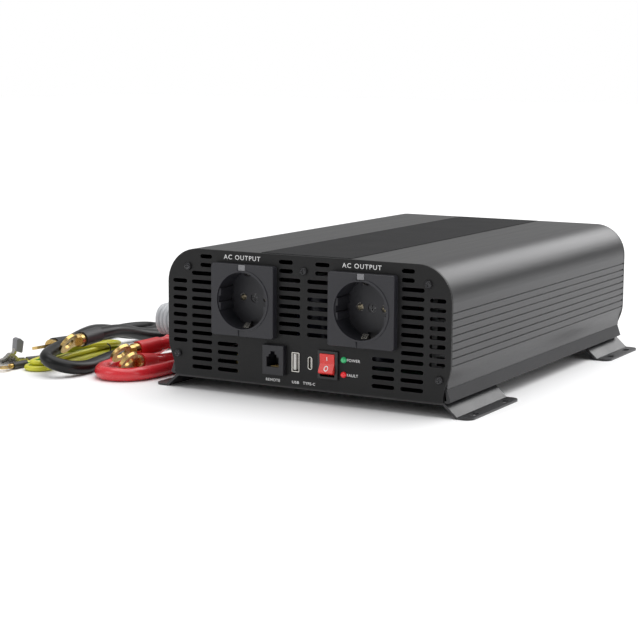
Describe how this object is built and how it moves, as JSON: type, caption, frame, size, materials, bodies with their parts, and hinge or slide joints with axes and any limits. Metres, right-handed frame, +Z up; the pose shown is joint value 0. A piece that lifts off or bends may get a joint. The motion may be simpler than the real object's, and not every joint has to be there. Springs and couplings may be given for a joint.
{
  "type": "power inverter",
  "caption": "Mobile power inverter: ribbed aluminium case on flanged feet, side-earthed mains sockets, rocker switch, ports, fans, battery leads with ring lugs and an earth clip lead.",
  "frame": {"origin": "on the ground plane, below the middle of the case between its feet, leads left out", "axes": "+X right along the front panel, +Y back into the depth, +Z up"},
  "size_m": [0.4041, 0.4045, 0.1008],
  "materials": {
    "cover": "satin anodised, extruded",
    "top_panel": "satin black strip along the top",
    "panel": "fine powder coat",
    "steel_dark": "satin paint",
    "screw": "blackened",
    "socket": "fine moulded grain",
    "contact": "plated spring strip",
    "gold_contact": "gold-plated wire",
    "black_plastic": "gloss",
    "rocker_red": "moulded, slight gloss",
    "print_white": "screen print",
    "port_shell": "nickel plated",
    "port_insert": "moulded",
    "lamp_green": "clear lens",
    "lamp_red": "clear lens",
    "board": "solder mask",
    "standoff": "turned",
    "ferrite": "sintered",
    "copper": "enamelled winding",
    "capacitor": "sleeved can",
    "sink": "extruded",
    "fan": "moulded",
    "wire_guard": "bright wire",
    "block_red": "moulded",
    "block_black": "moulded",
    "brass": "crimped, lightly tarnished",
    "zinc": "zinc plated",
    "cable_red": "soft gloss PVC",
    "cable_black": "soft gloss PVC",
    "sleeve_red": "heat shrink",
    "sleeve_black": "heat shrink",
    "cable_earth": "yellow with a green stripe",
    "clip_metal": "pressed, nickel plated",
    "grip": "moulded grip",
    "cord_grey": "flat PVC cord",
    "plug_clear": "clear moulding"
  },
  "bodies": {
    "case": {"base_screws": "screw", "base_tray": "steel_dark", "black_cable_long": "cable_black", "black_cable_short": "cable_black", "black_sleeves": "sleeve_black", "board_standoffs": "standoff", "capacitors": "capacitor", "clip_base": "clip_metal", "clip_pin": "clip_metal", "clip_spring": "clip_metal", "earth_lead_hank": "cable_earth", "earth_lead_tails": "cable_earth", "earth_ring_lug": "brass", "earth_sleeves": "sleeve_black", "earth_terminal": "zinc", "fan_frames": "fan", "fan_guards": "wire_guard", "fan_screws": "screw", "free_ring_lugs": "brass", "front_bracket": "steel_dark", "front_panel": "panel", "heat_sinks": "sink", "led_green": "lamp_green", "led_red": "lamp_red", "main_board": "board", "panel_screws": "screw", "rear_bracket": "steel_dark", "rear_panel": "panel", "rear_ring_lugs": "brass", "red_cable_long": "cable_red", "red_cable_short": "cable_red", "red_sleeves": "sleeve_red", "remote_contacts": "gold_contact", "remote_cord_hank": "cord_grey", "remote_cord_plugs": "plug_clear", "remote_jack": "black_plastic", "socket_contacts": "contact", "socket_earth_clips": "contact", "socket_left_body": "socket", "socket_right_body": "socket", "socket_screws": "screw", "switch_housing": "black_plastic", "terminal_block_black": "block_black", "terminal_block_red": "block_red", "terminal_nuts": "zinc", "terminal_studs": "brass", "top_cover": "cover", "top_label": "top_panel", "transformer_cores": "ferrite", "transformer_windings": "copper", "transistors": "black_plastic", "usb_a_shell": "port_shell", "usb_c_shell": "port_shell", "usb_tongues": "port_insert"},
    "rocker": {"switch_rocker": "rocker_red"},
    "fan_left": {"fan_left_rotor": "fan"},
    "fan_right": {"fan_right_rotor": "fan"},
    "clip_jaw": {"clip_lever": "clip_metal", "clip_handle_cover": "grip"}
  },
  "joints": [
    {"name": "power_switch", "type": "hinge", "parent": "case", "child": "rocker", "pos_m": [0.0196, -0.1718, 0.0278], "axis": [1, 0, 0], "range_deg": [0, 22]},
    {"name": "fan_left_spin", "type": "hinge", "parent": "case", "child": "fan_left", "pos_m": [0.024, 0.143, 0.058], "axis": [0, 1, 0], "continuous": true},
    {"name": "fan_right_spin", "type": "hinge", "parent": "case", "child": "fan_right", "pos_m": [0.082, 0.143, 0.058], "axis": [0, 1, 0], "continuous": true},
    {"name": "clip_hinge", "type": "hinge", "parent": "case", "child": "clip_jaw", "pos_m": [-0.26142, -0.16584, 0.0059], "axis": [-0.8944, 0.4472, 0], "range_deg": [0, 24], "stiffness_Nm_per_rad": 0.02, "springref_deg": -17.19}
  ]
}
